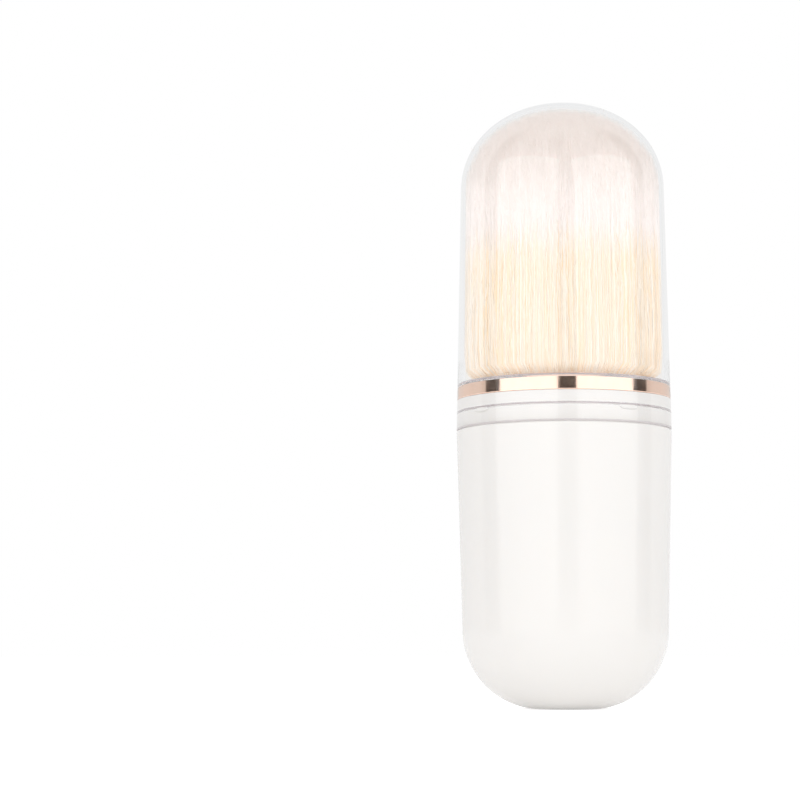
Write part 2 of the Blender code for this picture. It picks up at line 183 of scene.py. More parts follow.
def add_noise(tree, place, scale, detail, stretch=(1, 1, 1)):
    """Noise of so many waves a millimetre, stretched along the axes."""
    spread = tree.nodes.new("ShaderNodeVectorMath")
    spread.operation = "MULTIPLY"
    spread.inputs[1].default_value = [axis * scale / MM for axis in stretch]
    tree.links.new(place, spread.inputs[0])
    noise = tree.nodes.new("ShaderNodeTexNoise")
    noise.inputs["Scale"].default_value = 1
    noise.inputs["Detail"].default_value = detail
    tree.links.new(spread.outputs[0], noise.inputs["Vector"])
    return noise.outputs["Fac"]


def add_span(tree, value, low, high, start=0.3, end=0.7):
    """Maps a value between start and end to low and high."""
    span = tree.nodes.new("ShaderNodeMapRange")
    span.inputs["From Min"].default_value = start
    span.inputs["From Max"].default_value = end
    span.inputs["To Min"].default_value = low
    span.inputs["To Max"].default_value = high
    tree.links.new(value, span.inputs["Value"])
    return span.outputs["Result"]


def add_mix(tree, share, first, second):
    """Mixes two colours by a share between 0 and 1."""
    mix = tree.nodes.new("ShaderNodeMix")
    mix.data_type = "RGBA"
    for socket, colour in ((mix.inputs[6], first), (mix.inputs[7], second)):
        if isinstance(colour, tuple):
            socket.default_value = (*colour, 1)
        else:
            tree.links.new(colour, socket)
    tree.links.new(share, mix.inputs[0])
    return mix.outputs[2]


def add_bump(tree, shader, height, depth, strength):
    """Raises the surface by a height of 0 to 1 times the depth."""
    bump = tree.nodes.new("ShaderNodeBump")
    bump.inputs["Strength"].default_value = strength
    bump.inputs["Distance"].default_value = depth
    tree.links.new(height, bump.inputs["Height"])
    tree.links.new(bump.outputs["Normal"], shader.inputs["Normal"])


# White plastic has faint clouds from the melt, a slight ripple from the mould, and fine rub marks.
white, tree, shader, place = new_finish("white_moulding")
clouds = add_span(tree, add_noise(tree, place, 0.06, 3, (1, 1, 0.4)), 0, 1)
cloud_white = tuple(part * CLOUD_SHARE for part in WHITE)
tree.links.new(add_mix(tree, clouds, WHITE, cloud_white), shader.inputs["Base Color"])
rubs = add_noise(tree, place, 1.4, 4, (1, 1, 0.08))
tree.links.new(add_span(tree, rubs, *RUB_ROUGHNESS), shader.inputs["Roughness"])
add_bump(tree, shader, add_noise(tree, place, 0.3, 1), RIPPLE_DEPTH, 0.25)
shader.inputs["IOR"].default_value = PLASTIC_IOR
shader.inputs["Subsurface Weight"].default_value = 0.15
shader.inputs["Subsurface Radius"].default_value = (1.2, 1.1, 1.0)
shader.inputs["Subsurface Scale"].default_value = MM

foot_centre = (HANDLE_WAIST - FOOT_CORNER, FOOT_CORNER)
foot_outer = (FOOT_CORNER, FOOT_CORNER)
foot_inner = (FOOT_CORNER - HANDLE_WALL, FOOT_CORNER - HANDLE_WALL)
shoulder_centre = (HANDLE_RADIUS - SHOULDER_ROUND, HANDLE_TOP - SHOULDER_ROUND)
handle_outline = [
    (0, 0),
    *rounded(foot_centre, foot_outer, -90, 0, 40),
    (HANDLE_WAIST, FOOT_CORNER + SUPPORT),
    (HANDLE_RADIUS, shoulder_centre[1] - SUPPORT),
    *rounded(shoulder_centre, (SHOULDER_ROUND, SHOULDER_ROUND), 0, 90, 8),
    (MOUTH_RADIUS + MOUTH_EDGE, HANDLE_TOP),
    (MOUTH_RADIUS, HANDLE_TOP - MOUTH_EDGE),
    (MOUTH_RADIUS, MOUTH_LEDGE),
    (MOUTH_RADIUS - LEDGE_WIDTH, MOUTH_LEDGE),
    *rounded(foot_centre, foot_inner, 0, -90, 24),
    (0, HANDLE_WALL),
]
handle = turn("handle", handle_outline)
slug_ribs = [
    rib(SLUG_RIB_INNER, SLUG_RIB_OUTER, SLUG_RIB_WIDTH, SLUG_RIB_FOOT, SLUG_RIB_TOP, math.radians(angle))
    for angle in SLUG_RIB_ANGLES
]
fuse(handle, slug_ribs)
handle.data.materials.append(white)
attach(handle, "handle")
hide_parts("handle_shell")


# Steel slug
# A turned steel weight that lies in the foot, so that the light brush stands. It keeps its CAD shape and
# shows the rings that the lathe tool left.
STEEL_DARK = (0.42, 0.42, 0.44)
STEEL_LIGHT = (0.58, 0.58, 0.6)
STEEL_ROUGHNESS = (0.3, 0.45)
TOOL_RING_DEPTH = 0.02 * MM

steel, tree, shader, place = new_finish("turned_steel")
tool_rings = add_noise(tree, place, 2.5, 2, (0.02, 0.02, 1))
tree.links.new(add_mix(tree, tool_rings, STEEL_DARK, STEEL_LIGHT), shader.inputs["Base Color"])
tree.links.new(add_span(tree, tool_rings, *STEEL_ROUGHNESS), shader.inputs["Roughness"])
add_bump(tree, shader, tool_rings, TOOL_RING_DEPTH, 0.5)
shader.inputs["Metallic"].default_value = 1
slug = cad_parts["ballast_slug"]
slug.data.materials.clear()
slug.data.materials.append(steel)


# Neck sleeve
# A white moulded sleeve, pushed into the handle's mouth on eight crush ribs. Its neck stands out of the
# handle, carries four small pips that the cap's rim snaps over, and holds the ring and the hair's cup.
NECK_RADIUS = 16.88 * MM
NECK_BORE = 15.93 * MM
NECK_TOP = 52.93 * MM
NECK_EDGE = 0.06 * MM
SLEEVE_FOOT = 29.4 * MM
WEB_TOP = 40.3 * MM
WEB_FOOT = 39.1 * MM
WEB_HOLE = 5.0 * MM
SKIRT_RADIUS = 15.28 * MM
PIP_HEIGHT = 50.3 * MM
PIP_SIZE = (0.3 * MM, 1.8 * MM, 0.45 * MM)
PIP_ANGLES = (34.2, 124.2, 214.2, 304.2)
CRUSH_RIBS = 8
CRUSH_RIB_INNER = NECK_RADIUS - 0.5 * MM
CRUSH_RIB_OUTER = MOUTH_RADIUS - 0.12 * MM
CRUSH_RIB_WIDTH = 0.8 * MM
CRUSH_RIB_FOOT = 30.6 * MM
CRUSH_RIB_TOP = 42.6 * MM

sleeve_outline = [
    (NECK_RADIUS, SLEEVE_FOOT),
    (NECK_RADIUS, NECK_TOP - NECK_EDGE - SUPPORT),
    *rounded((NECK_RADIUS - NECK_EDGE, NECK_TOP - NECK_EDGE), (NECK_EDGE, NECK_EDGE), 0, 90, 6),
    (NECK_BORE, NECK_TOP),
    (NECK_BORE, WEB_TOP),
    (WEB_HOLE, WEB_TOP),
    (WEB_HOLE, WEB_FOOT),
    (SKIRT_RADIUS, WEB_FOOT),
    (SKIRT_RADIUS, SLEEVE_FOOT),
    (NECK_RADIUS, SLEEVE_FOOT),
]
sleeve = turn("neck_sleeve_fine", sleeve_outline)
pips = []
for angle in np.radians(PIP_ANGLES):
    at = (NECK_RADIUS * math.cos(angle), NECK_RADIUS * math.sin(angle), PIP_HEIGHT)
    bpy.ops.mesh.primitive_uv_sphere_add(
        segments=32, ring_count=16, radius=1, location=at, rotation=(0, 0, angle)
    )
    pip = bpy.context.object
    pip.scale = PIP_SIZE
    settle(pip)
    pips.append(pip)
crush_ribs = [
    rib(CRUSH_RIB_INNER, CRUSH_RIB_OUTER, CRUSH_RIB_WIDTH, CRUSH_RIB_FOOT, CRUSH_RIB_TOP, angle)
    for angle in (math.radians(360 / CRUSH_RIBS * k) for k in range(CRUSH_RIBS))
]
fuse(sleeve, pips + crush_ribs)
sleeve.data.materials.append(white)
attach(sleeve, "handle")
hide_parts("neck_sleeve")


# Ferrule cup
# A drawn aluminium cup inside the neck that holds the glue and the roots of the hair. It keeps its CAD
# shape, with the fine upright lines that drawing leaves.
ALUMINIUM_DARK = (0.7, 0.7, 0.72)
ALUMINIUM_LIGHT = (0.82, 0.82, 0.84)
DRAWN_ROUGHNESS = (0.24, 0.38)
DRAWN_LINE_DEPTH = 0.01 * MM

drawn, tree, shader, place = new_finish("drawn_aluminium_skin")
lines = add_noise(tree, place, 3.0, 3, (1, 1, 0.02))
tree.links.new(add_mix(tree, lines, ALUMINIUM_DARK, ALUMINIUM_LIGHT), shader.inputs["Base Color"])
tree.links.new(add_span(tree, lines, *DRAWN_ROUGHNESS), shader.inputs["Roughness"])
add_bump(tree, shader, lines, DRAWN_LINE_DEPTH, 0.5)
shader.inputs["Metallic"].default_value = 1
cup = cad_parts["ferrule_cup"]
cup.data.materials.clear()
cup.data.materials.append(drawn)


# Glue plug
# Set epoxy under the hair, a little cloudy. It was poured into the cup and found its own level, and it
# keeps its CAD shape.
RESIN_DARK = (0.74, 0.64, 0.44)
RESIN_LIGHT = (0.86, 0.78, 0.62)
RESIN_ROUGHNESS = (0.2, 0.34)
RESIN_WAVE_DEPTH = 0.05 * MM

resin, tree, shader, place = new_finish("set_resin")
haze = add_noise(tree, place, 0.5, 3)
tree.links.new(add_mix(tree, haze, RESIN_DARK, RESIN_LIGHT), shader.inputs["Base Color"])
tree.links.new(add_span(tree, haze, *RESIN_ROUGHNESS), shader.inputs["Roughness"])
add_bump(tree, shader, haze, RESIN_WAVE_DEPTH, 0.4)
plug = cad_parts["glue_plug"]
plug.data.materials.clear()
plug.data.materials.append(resin)


# Ferrule ring
# A thin brass ring with polished rose gold plating. It sits on the neck's edge, and its lip turns in over
# the cup's edge.
RING_RADIUS = 16.7 * MM
RING_FOOT = 52.95 * MM
RING_TOP = 55.7 * MM
RING_ROUND = 0.25 * MM
FOOT_ROUND = 0.07 * MM
RING_LIP = 15.28 * MM
LIP_THICKNESS = 0.6 * MM
LIP_ROUND = 0.12 * MM
GOLD_DARK = (0.9, 0.65, 0.52)
GOLD_LIGHT = (0.93, 0.71, 0.59)
# The two edge colours are painted shade along the ring's top edge and along its foot.
GOLD_TOP_SHADE = (0.62, 0.33, 0.2)
GOLD_FOOT_SHADE = (0.66, 0.42, 0.32)
TOP_SHADE_FADE = (RING_TOP - 0.42 * MM, RING_TOP - 0.3 * MM)
FOOT_SHADE_FADE = (RING_FOOT + 0.03 * MM, RING_FOOT + 0.12 * MM)
GOLD_ROUGHNESS = (0.05, 0.12)
POLISH_DEPTH = 0.004 * MM

foot_round = (FOOT_ROUND, FOOT_ROUND)
ring_round = (RING_ROUND, RING_ROUND)
lip_round = (LIP_ROUND, LIP_ROUND)
ring_outline = [
    *rounded((RING_RADIUS - FOOT_ROUND, RING_FOOT + FOOT_ROUND), foot_round, -90, 0, 4),
    (RING_RADIUS, RING_FOOT + FOOT_ROUND + SUPPORT),
    (RING_RADIUS, RING_TOP - RING_ROUND - SUPPORT),
    *rounded((RING_RADIUS - RING_ROUND, RING_TOP - RING_ROUND), ring_round, 0, 90, 8),
    *rounded((RING_LIP + LIP_ROUND, RING_TOP - LIP_ROUND), lip_round, 90, 180, 5),
    (RING_LIP, RING_TOP - LIP_THICKNESS),
    (NECK_BORE, RING_TOP - LIP_THICKNESS),
    (NECK_BORE, RING_FOOT),
    (RING_RADIUS - FOOT_ROUND, RING_FOOT),
]
# Painted shade: the plating is darkened in thin bands along its top edge and along its foot.
rose_gold, tree, shader, place = new_finish("rose_gold_plating")
wear = add_noise(tree, place, 0.8, 4, (1, 1, 0.5))
level = tree.nodes.new("ShaderNodeSeparateXYZ")
tree.links.new(place, level.inputs[0])
# Masks for the painted shade along the top edge and the foot.
top_shade = add_span(tree, level.outputs["Z"], 0, 1, *TOP_SHADE_FADE)
foot_shade = add_span(tree, level.outputs["Z"], 1, 0, *FOOT_SHADE_FADE)
plating = add_mix(tree, wear, GOLD_DARK, GOLD_LIGHT)
plating = add_mix(tree, top_shade, plating, GOLD_TOP_SHADE)
plating = add_mix(tree, foot_shade, plating, GOLD_FOOT_SHADE)
tree.links.new(plating, shader.inputs["Base Color"])
tree.links.new(add_span(tree, wear, *GOLD_ROUGHNESS), shader.inputs["Roughness"])
add_bump(tree, shader, add_noise(tree, place, 0.7, 2), POLISH_DEPTH, 0.3)
shader.inputs["Metallic"].default_value = 1
ring = turn("ferrule_ring_fine", ring_outline)
ring.data.materials.append(rose_gold)
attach(ring, "handle")
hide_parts("ferrule_ring")


# Hair
# Fine synthetic fibres, glued at the root, cream below and near white at the dipped tips. In the cap they
# stand upright and fill it, and the outer fibres are laid as sixteen locks of their own. One fibre is
# modelled and laid many times.
LOCKS = 16
FIBRE_COUNT = 24000
FIBRE_SEED = 7
FIBRE_RADIUS = 0.1 * MM
FIBRE_TIP_SHARE = 0.25
FIBRE_TAPER_START = 0.55
FIBRE_CUTS = (0.064, 0.105, 0.2, 0.3, 0.4, 0.5, 0.6, 0.7, 0.8, 0.9)
ROOT_LEVEL = 53.95 * MM
HINGE_LEVEL = 56.0 * MM
ROOT_RADIUS = 15.0 * MM
ROOT_SPREAD = 0.44
ROOT_STRAY = 0.05 * MM
MIDDLE_RADIUS = 4.9 * MM
FULL_RADIUS = 17.05 * MM
HIGH_RADIUS = 16.7 * MM
HIGH_HEIGHT = 30 * MM
SWELL_HEIGHT = 2.4 * MM
EDGE_LENGTH = 31.4 * MM
CROWN_LENGTH = 47.6 * MM
CROWN_POWER = 2.4
LENGTH_STRAY = 0.35 * MM
SHORTFALL = 0.55 * MM
LONGEST_PAST_CROWN = 0.4 * MM
TUFT_WAVES = 24
TUFT_PITCH = (1.0, 3.6)
TUFT_LEAN = 0.03
OWN_LEAN = 0.34 * MM
BEND_SIZE = 0.13 * MM
BEND_PITCH = (6, 15)
LOOSE_AT_ROOT = 0.25
LOOSE_HEIGHT = 34 * MM
LOOSE_MOST = 1.2
CREAM = (0.965, 0.9, 0.81)
TIP_WHITE = (0.955, 0.905, 0.9)
# The deep tones are partly some fibres' own chance tone and partly painted shade on fibres rooted further
# in.
DEEP_AND_SHADED_CREAM = (0.96, 0.62, 0.3)
DEEP_AND_SHADED_TIP = (0.94, 0.83, 0.8)
PAINTED_SHADE_DEPTH = 2.2 * MM
PAINTED_SHADE_SHARE = 0.4
TONE_BY_CHANCE = 0.59
DIP_FOOT = 0.42
DIP_TOP = 0.535
DIP_STRAY = 0.022
CHART_COLUMNS = 256
COLUMN_MARGIN = 0.15
CHART_HEIGHT = 50 * MM
CHART_FOOT = 0.02
CHART_SPAN = 0.94
CHART_MARGIN = 0.01
WARM_GLOW = (1.0, 0.72, 0.42, 1)
GLOW_STRENGTH = 0.13

rng = np.random.default_rng(FIBRE_SEED)

# One fibre: a slim three-sided cone, cut across into parts. Its height runs from 0 to 1.
bpy.ops.object.select_all(action="DESELECT")
bpy.ops.mesh.primitive_cone_add(
    vertices=3, radius1=1, radius2=FIBRE_TIP_SHARE, depth=1, end_fill_type="NGON", location=(0, 0, 0.5)
)
pattern = bpy.context.object
bpy.ops.object.mode_set(mode="EDIT")
for cut in FIBRE_CUTS:
    bpy.ops.mesh.select_all(action="SELECT")
    bpy.ops.mesh.bisect(plane_co=(0, 0, cut), plane_no=(0, 0, 1))
bpy.ops.object.mode_set(mode="OBJECT")
settle(pattern)
fibre_points = np.array([vertex.co for vertex in pattern.data.vertices])
fibre_faces = [tuple(face.vertices) for face in pattern.data.polygons]
bpy.data.objects.remove(pattern)
fibre_side = np.arctan2(fibre_points[:, 1], fibre_points[:, 0])
fibre_along = fibre_points[:, 2]
taper = np.clip((fibre_along - FIBRE_TAPER_START) / (1 - FIBRE_TAPER_START), 0, 1)
fibre_width = 1 - (1 - FIBRE_TIP_SHARE) * taper**1.5

# Roots: spread over the round, a little closer near its edge, and a little disturbed.
index = np.arange(FIBRE_COUNT)
root_r = ROOT_RADIUS * ((index + 0.5) / FIBRE_COUNT) ** ROOT_SPREAD
root_a = index * math.pi * (3 - math.sqrt(5))
root_x = root_r * np.cos(root_a) + rng.normal(0, ROOT_STRAY, FIBRE_COUNT)
root_y = root_r * np.sin(root_a) + rng.normal(0, ROOT_STRAY, FIBRE_COUNT)
root_r = np.hypot(root_x, root_y)
root_a = np.arctan2(root_y, root_x)

# Lean: neighbours lean together into small tufts with gaps between them, and each fibre leans and bends a
# little by itself.
lean_x = np.zeros(FIBRE_COUNT)
lean_y = np.zeros(FIBRE_COUNT)
for wave in range(TUFT_WAVES):
    pitch = rng.uniform(*TUFT_PITCH) * MM
    heading = rng.uniform(0, 2 * math.pi)
    wave_x, wave_y = math.cos(heading), math.sin(heading)
    along_wave = (root_x * wave_x + root_y * wave_y) * 2 * math.pi / pitch
    swing = np.cos(along_wave + rng.uniform(0, 2 * math.pi))
    lean_x += wave_x * swing * pitch
    lean_y += wave_y * swing * pitch
lean_x = lean_x * TUFT_LEAN + rng.normal(0, OWN_LEAN, FIBRE_COUNT)
lean_y = lean_y * TUFT_LEAN + rng.normal(0, OWN_LEAN, FIBRE_COUNT)
bend_a = rng.uniform(0, 2 * math.pi, FIBRE_COUNT)
bend_size = rng.gamma(2.0, BEND_SIZE, FIBRE_COUNT)
bend_pitch = rng.uniform(*BEND_PITCH, FIBRE_COUNT) * MM
bend_start = rng.uniform(0, 2 * math.pi, FIBRE_COUNT)

# Length: a dome that fills the cap, with some fibres shorter than their neighbours.
share = np.clip(root_r / ROOT_RADIUS, 0, 1)
length = EDGE_LENGTH + (CROWN_LENGTH - EDGE_LENGTH) * (1 - share**CROWN_POWER) ** 0.5
length += rng.normal(0, LENGTH_STRAY, FIBRE_COUNT) - rng.gamma(1.0, SHORTFALL, FIBRE_COUNT)
length = np.minimum(length, CROWN_LENGTH + LONGEST_PAST_CROWN)

# Which lock each fibre springs with: the nearest ones by chance, so that locks run into each other.
turn_share = (root_a / (2 * math.pi)) % 1 * LOCKS - 0.5
lower = np.floor(turn_share)
lock_of = np.where(rng.random(FIBRE_COUNT) < turn_share - lower, lower + 1, lower).astype(int) % LOCKS
lock_of[root_r < MIDDLE_RADIUS] = -1

# The finish reads a chart on the fibres: across it runs each fibre's tone, from light to deep, and up it
# runs the height. Part of the tone is chance and part is painted shade: fibres rooted further in from the
# tuft's edge take more of the deep, warm tone, as if shaded by the fibres around them. Light that wanders
# from fibre to fibre leaves the tuft warm; a faint painted glow stands for it.
hair, tree, shader, place = new_finish("dipped_hair")
chart = tree.nodes.new("ShaderNodeUVMap")
chart.uv_map = "OFBake"
chart_parts = tree.nodes.new("ShaderNodeSeparateXYZ")
tree.links.new(chart.outputs["UV"], chart_parts.inputs[0])
dipped = add_span(tree, chart_parts.outputs["Y"], 0, 1, DIP_FOOT, DIP_TOP)
light_tone = add_mix(tree, dipped, CREAM, TIP_WHITE)
deep_and_shaded_tone = add_mix(tree, dipped, DEEP_AND_SHADED_CREAM, DEEP_AND_SHADED_TIP)
tree.links.new(add_mix(tree, chart_parts.outputs["X"], light_tone, deep_and_shaded_tone), shader.inputs["Base Color"])
shader.inputs["Sheen Weight"].default_value = 0.5
shader.inputs["Sheen Tint"].default_value = (1, 0.9, 0.8, 1)
shader.inputs["Roughness"].default_value = 0.42
shader.inputs["Emission Color"].default_value = WARM_GLOW
shader.inputs["Emission Strength"].default_value = GLOW_STRENGTH


def lay_fibres(name, chosen):
    """Copies the fibre along the path of each chosen one, with a chart of its height and its tone; part of
    the tone is chance and part is painted shade, stronger for fibres rooted further in.
    """
    count = len(chosen)
    buried = HINGE_LEVEL - ROOT_LEVEL
    height = fibre_along[None, :] * (length[chosen, None] + buried) - buried
    free = np.clip(height / SWELL_HEIGHT, 0, 1)
    wall = FULL_RADIUS + (HIGH_RADIUS - FULL_RADIUS) * np.clip(height / HIGH_HEIGHT, 0, 1)
    swell = 1 + (wall / ROOT_RADIUS - 1) * free * (2 - free)
    loose = LOOSE_AT_ROOT * free + np.clip(height / LOOSE_HEIGHT, 0, LOOSE_MOST)
    bend_angle = height / bend_pitch[chosen, None] * 2 * math.pi + bend_start[chosen, None]
    sway = bend_size[chosen, None] * np.sin(bend_angle)
    x = root_x[chosen, None] * swell + (lean_x[chosen, None] + np.cos(bend_a)[chosen, None] * sway) * loose
    y = root_y[chosen, None] * swell + (lean_y[chosen, None] + np.sin(bend_a)[chosen, None] * sway) * loose
    reach = np.hypot(x, y)
    limit = ROOT_RADIUS * swell + ROOT_STRAY
    kept = np.minimum(1, limit / np.maximum(reach, 1e-9))
    turned = fibre_side[None, :] + bend_start[chosen, None]
    thick = fibre_width[None, :] * FIBRE_RADIUS
    points = np.stack(
        [x * kept + np.cos(turned) * thick, y * kept + np.sin(turned) * thick, height + HINGE_LEVEL], axis=2
    ).reshape(-1, 3)
    sides = len(fibre_points)
    faces = [[corner + step * sides for corner in face] for step in range(count) for face in fibre_faces]
    mesh = bpy.data.meshes.new(name)
    mesh.from_pydata(points, [], faces)
    loops = np.zeros(len(mesh.loops), int)
    mesh.loops.foreach_get("vertex_index", loops)
    fibre = loops // sides
    corner = loops % sides
    # Painted shade: fibres rooted further in from the tuft's edge lean towards the deep, warm tone.
    deep = np.clip((ROOT_RADIUS - root_r[chosen]) / PAINTED_SHADE_DEPTH, 0, 1)
    tone = np.floor((PAINTED_SHADE_SHARE * deep + TONE_BY_CHANCE * rng.random(count) ** 1.5) * CHART_COLUMNS)
    side_share = fibre_side[corner] / (2 * math.pi) % 1
    across = (tone[fibre] + COLUMN_MARGIN + (1 - 2 * COLUMN_MARGIN) * side_share) / CHART_COLUMNS
    dip = rng.normal(0, DIP_STRAY, count)
    rise = (points[loops, 2] - ROOT_LEVEL) / CHART_HEIGHT
    upright = np.clip(CHART_FOOT + CHART_SPAN * rise + dip[fibre], CHART_MARGIN, 1 - CHART_MARGIN)
    chart_map = mesh.uv_layers.new(name="OFBake")
    chart_map.uv.foreach_set("vector", np.stack([across, upright], 1).astype(np.float32).ravel())
    mesh.materials.append(hair)
    mesh.shade_smooth()
    piece = bpy.data.objects.new(name, mesh)
    piece.visible_shadow = False
    piece.visible_diffuse = False
    bpy.context.scene.collection.objects.link(piece)
    return piece


# The middle of the hair stands on a disc of bound roots, and doesn't move.
BOUND_HEIGHT = 1.7 * MM
BOUND_LEVEL = 53.3 * MM
BOUND_EDGE = 0.2 * MM
BOUND_DARK = (0.8, 0.62, 0.4)
BOUND_LIGHT = (0.95, 0.84, 0.66)
BOUND_ROUGHNESS = (0.45, 0.7)
BOUND_GRAIN_DEPTH = 0.1 * MM

middle = lay_fibres("hair_middle", np.flatnonzero(lock_of < 0))
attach(middle, "handle")
bpy.ops.object.select_all(action="DESELECT")
bpy.ops.mesh.primitive_cylinder_add(
    vertices=96, radius=ROOT_RADIUS - 0.02 * MM, depth=BOUND_HEIGHT, location=(0, 0, BOUND_LEVEL)
)
roots = bpy.context.object
roots.name = "bound_roots"
bevel = roots.modifiers.new("edge", "BEVEL")
bevel.width = BOUND_EDGE
bevel.segments = 2
bpy.ops.object.modifier_apply(modifier=bevel.name)
settle(roots)
bound, tree, shader, place = new_finish("bound_root_fibre")
ends = add_noise(tree, place, 4.0, 2)
tree.links.new(add_mix(tree, ends, BOUND_DARK, BOUND_LIGHT), shader.inputs["Base Color"])
tree.links.new(add_span(tree, ends, *BOUND_ROUGHNESS), shader.inputs["Roughness"])
add_bump(tree, shader, ends, BOUND_GRAIN_DEPTH, 0.6)
roots.data.materials.append(bound)
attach(roots, "handle")
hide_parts("hair_core")

for k in range(LOCKS):
    body = f"lock_{k + 1:02d}"
    lock = lay_fibres(f"hair_{body}_fine", np.flatnonzero(lock_of == k))
    heading = 2 * math.pi * (k + 0.5) / LOCKS
    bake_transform(lock)
    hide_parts(f"hair_{body}")


# Clear cap
# A clear dome moulded in one shot, 57 mm tall. Its rim rests on the handle's shoulder, a shallow groove
# inside the rim clears the pips, and a small ledge above the ring is where the mould's core was stepped.
CAP_FOOT = 47.7 * MM
CAP_TOP = 104.8 * MM
CAP_SPRING = 89.6 * MM
SPRING_RADIUS = 17.65 * MM
DOME_POWER = 2.1
RIM_ROUND = 0.15 * MM
NECK_BORE_RADIUS = 16.86 * MM
RING_BORE_RADIUS = 16.68 * MM
BORE_CHAMFER = 0.15 * MM
GROOVE_LEVEL = 50.75 * MM
GROOVE_SIZE = 0.26 * MM
STEP_LEVEL = 55.12 * MM
STEP_HEIGHT = 0.55 * MM
STEP_RADIUS = 17.2 * MM
INNER_SPRING = 17.15 * MM
INNER_DOME = 14.5 * MM
DOME_LEVEL = 60 * MM
LEDGE_BAND = (STEP_LEVEL + 0.24 * MM, STEP_LEVEL + STEP_HEIGHT - 0.02 * MM)
GROOVE_BAND = (GROOVE_LEVEL - 0.12 * MM, GROOVE_LEVEL + 0.16 * MM)
RIM_BAND = (CAP_FOOT - 0.1 * MM, CAP_FOOT + 0.27 * MM)
RIM_FROST = 0.7
BAND_FADE = 0.03 * MM
INSIDE_FADE = (STEP_RADIUS / MM + 0.02, STEP_RADIUS / MM + 0.08)
COLLAR_SHADE_FADE = 0.4 * MM
CLEAR = (0.996, 0.998, 1.0)
# The collar colours are painted shade: below the ring's top the wall and its frost are darker.
CLEAR_COLLAR_SHADED = (0.975, 0.968, 0.968)
FROST_AT_DOME = (0.84, 0.82, 0.87)
FROST_COLLAR_SHADED = (0.5, 0.44, 0.45)
# The tint that rays let out of the wall pass: painted shade along the cap's edges.
TRAPPED_EDGE_SHADE = (0.95, 0.965, 0.975)
FROST_ROUGHNESS = 0.5
FROST_OPACITY = 0.75
SCUFF_ROUGHNESS = (0.004, 0.018)
GLINT = (0.6, 0.6, 0.61, 1)
COLLAR_TURNS = 6.5
DOME_TURNS = 3.5

cap_outline = [
    *rounded((0, CAP_SPRING), (SPRING_RADIUS, CAP_TOP - CAP_SPRING), 90, 0, 40, DOME_POWER),
    (HANDLE_RADIUS, CAP_FOOT + RIM_ROUND + SUPPORT),
    *rounded((HANDLE_RADIUS - RIM_ROUND, CAP_FOOT + RIM_ROUND), (RIM_ROUND, RIM_ROUND), 0, -90, 6),
    (NECK_BORE_RADIUS + RIM_ROUND, CAP_FOOT),
    (NECK_BORE_RADIUS, CAP_FOOT + RIM_ROUND),
    *rounded((NECK_BORE_RADIUS, GROOVE_LEVEL), (GROOVE_SIZE, GROOVE_SIZE), -90, 90, 8),
    (NECK_BORE_RADIUS, RING_FOOT - BORE_CHAMFER),
    (RING_BORE_RADIUS, RING_FOOT),
    (RING_BORE_RADIUS, STEP_LEVEL),
    (STEP_RADIUS, STEP_LEVEL + STEP_HEIGHT),
    *rounded((0, CAP_SPRING), (INNER_SPRING, INNER_DOME), 0, 90, 40, DOME_POWER),
]
cap = turn("cap_fine", cap_outline)


def add_value(tree, kind, first, second):
    """One step of arithmetic on sockets or numbers."""
    step = tree.nodes.new("ShaderNodeMath")
    step.operation = kind
    for socket, value in ((step.inputs[0], first), (step.inputs[1], second)):
        if isinstance(value, (int, float)):
            socket.default_value = value
        else:
            tree.links.new(value, socket)
    return step.outputs[0]


clear, tree, shader, place = new_finish("clear_moulding")
shader.inputs["IOR"].default_value = PLASTIC_IOR
shader.inputs["Specular Tint"].default_value = GLINT
radial = tree.nodes.new("ShaderNodeVectorMath")
radial.operation = "MULTIPLY"
radial.inputs[1].default_value = (1 / MM, 1 / MM, 0)
tree.links.new(place, radial.inputs[0])
reach = tree.nodes.new("ShaderNodeVectorMath")
reach.operation = "LENGTH"
tree.links.new(radial.outputs[0], reach.inputs[0])
level = tree.nodes.new("ShaderNodeSeparateXYZ")
tree.links.new(place, level.inputs[0])

# The mould left the ledge, the groove and the rim frosted: bands of fine matt grain, milky beside the clear
# wall. The first two are on the wall's inside alone. The rim's is on both of its sides, and fainter.
inside = add_span(tree, reach.outputs["Value"], 1, 0, *INSIDE_FADE)
frosted_bands = ((*LEDGE_BAND, inside), (*GROOVE_BAND, inside), (*RIM_BAND, RIM_FROST))
frost = 0
for low, high, strength in frosted_bands:
    above = add_span(tree, level.outputs["Z"], 0, 1, low, low + BAND_FADE)
    below = add_span(tree, level.outputs["Z"], 1, 0, high - BAND_FADE, high)
    band = add_value(tree, "MULTIPLY", add_value(tree, "MULTIPLY", above, below), strength)
    frost = add_value(tree, "ADD", frost, band)
scuffs = add_span(tree, add_noise(tree, place, 1.2, 4, (1, 1, 0.1)), *SCUFF_ROUGHNESS)
grain = add_value(tree, "MAXIMUM", scuffs, add_value(tree, "MULTIPLY", frost, FROST_ROUGHNESS))
tree.links.new(grain, shader.inputs["Roughness"])
clearness = add_value(tree, "SUBTRACT", 1, add_value(tree, "MULTIPLY", frost, FROST_OPACITY))
tree.links.new(clearness, shader.inputs["Transmission Weight"])
# Painted shade: below the ring's top the clear wall and its frost bands are tinted darker, so that the
# neck, the groove and the rim look shaded through the collar.
above_collar_shade = add_span(tree, level.outputs["Z"], 0, 1, RING_TOP - COLLAR_SHADE_FADE, RING_TOP + COLLAR_SHADE_FADE)
clear_and_collar_shade = add_mix(tree, above_collar_shade, CLEAR_COLLAR_SHADED, CLEAR)
frost_and_collar_shade = add_mix(tree, above_collar_shade, FROST_COLLAR_SHADED, FROST_AT_DOME)
tree.links.new(add_mix(tree, frost, clear_and_collar_shade, frost_and_collar_shade), shader.inputs["Base Color"])

